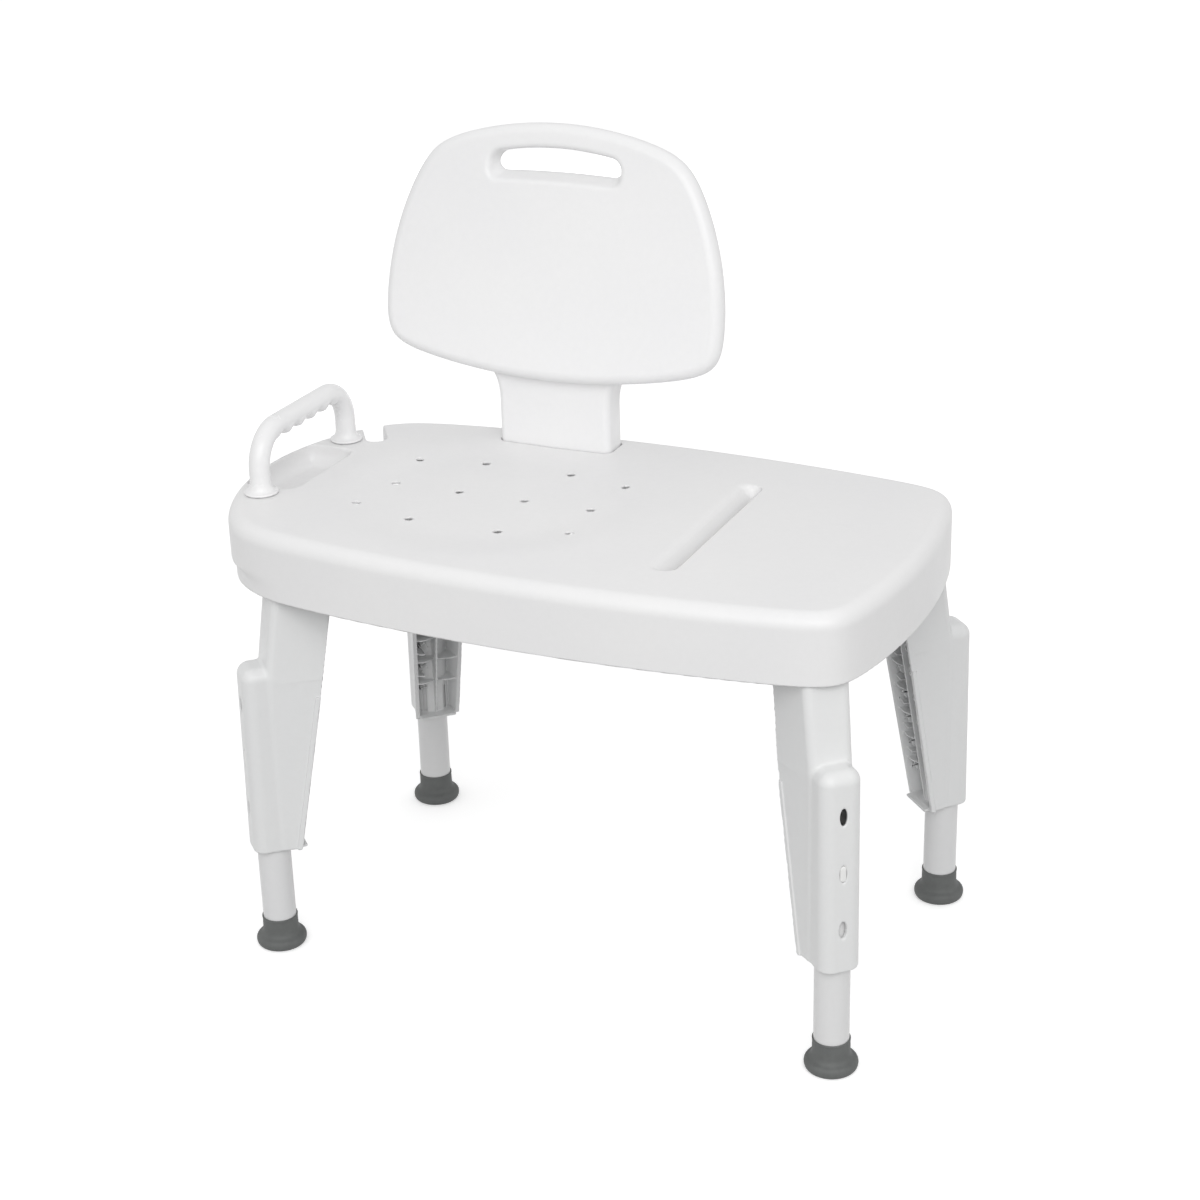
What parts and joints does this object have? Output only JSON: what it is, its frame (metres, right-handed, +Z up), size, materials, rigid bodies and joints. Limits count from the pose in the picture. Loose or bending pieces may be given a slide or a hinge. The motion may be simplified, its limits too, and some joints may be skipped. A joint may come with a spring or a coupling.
{
  "type": "bath transfer bench",
  "caption": "Moulded bath transfer bench with a lift-out backrest, an end grab handle and telescoping legs with rubber tips.",
  "frame": {"origin": "on the floor, under the middle of the overall box", "axes": "+X along the deck away from the grab handle, -Y towards the sitter's front, +Z up"},
  "size_m": [0.711, 0.3998, 0.7882],
  "materials": {
    "deck_plastic": "fine satin white",
    "back_plastic": "fine satin white",
    "handle_plastic": "fine satin white",
    "bracket_plastic": "fine satin white",
    "tube_plastic": "smooth white",
    "button_plastic": "smooth white",
    "tip_rubber": "matte dark grey",
    "screw_steel": "plain",
    "spring_steel": "plain"
  },
  "bodies": {
    "bench": {"seat_deck": "deck_plastic", "grab_handle": "handle_plastic", "handle_screws": "screw_steel", "leg_screws": "screw_steel", "leg_bracket_fl": "bracket_plastic", "leg_bracket_fr": "bracket_plastic", "leg_bracket_bl": "bracket_plastic", "leg_bracket_br": "bracket_plastic"},
    "backrest": {"backrest": "back_plastic"},
    "leg_fl": {"leg_tube_fl": "tube_plastic", "foot_tip_fl": "tip_rubber", "button_spring_fl": "spring_steel"},
    "button_fl": {"snap_button_fl": "button_plastic"},
    "leg_fr": {"leg_tube_fr": "tube_plastic", "foot_tip_fr": "tip_rubber", "button_spring_fr": "spring_steel"},
    "button_fr": {"snap_button_fr": "button_plastic"},
    "leg_bl": {"leg_tube_bl": "tube_plastic", "foot_tip_bl": "tip_rubber", "button_spring_bl": "spring_steel"},
    "button_bl": {"snap_button_bl": "button_plastic"},
    "leg_br": {"leg_tube_br": "tube_plastic", "foot_tip_br": "tip_rubber", "button_spring_br": "spring_steel"},
    "button_br": {"snap_button_br": "button_plastic"}
  },
  "joints": [
    {"name": "backrest_lift", "type": "slide", "parent": "bench", "child": "backrest", "axis": [0, 0, 1], "range_m": [0, 0.06]},
    {"name": "leg_slide_fl", "type": "slide", "parent": "bench", "child": "leg_fl", "axis": [0, 0, -1], "range_m": [-0.0575, 0.0575], "deforming": ["snap_button_fl"]},
    {"name": "button_press_fl", "type": "slide", "parent": "leg_fl", "child": "button_fl", "axis": [0.7071, 0.7071, 0], "range_m": [0, 0.004], "stiffness_N_per_m": 800, "deforming": ["button_spring_fl"]},
    {"name": "leg_slide_fr", "type": "slide", "parent": "bench", "child": "leg_fr", "axis": [0, 0, -1], "range_m": [-0.0575, 0.0575], "deforming": ["snap_button_fr"]},
    {"name": "button_press_fr", "type": "slide", "parent": "leg_fr", "child": "button_fr", "axis": [-0.7071, 0.7071, 0], "range_m": [0, 0.004], "stiffness_N_per_m": 800, "deforming": ["button_spring_fr"]},
    {"name": "leg_slide_bl", "type": "slide", "parent": "bench", "child": "leg_bl", "axis": [0, 0, -1], "range_m": [-0.0575, 0.0575], "deforming": ["snap_button_bl"]},
    {"name": "button_press_bl", "type": "slide", "parent": "leg_bl", "child": "button_bl", "axis": [0.7071, -0.7071, 0], "range_m": [0, 0.004], "stiffness_N_per_m": 800, "deforming": ["button_spring_bl"]},
    {"name": "leg_slide_br", "type": "slide", "parent": "bench", "child": "leg_br", "axis": [0, 0, -1], "range_m": [-0.0575, 0.0575], "deforming": ["snap_button_br"]},
    {"name": "button_press_br", "type": "slide", "parent": "leg_br", "child": "button_br", "axis": [-0.7071, -0.7071, 0], "range_m": [0, 0.004], "stiffness_N_per_m": 800, "deforming": ["button_spring_br"]}
  ]
}
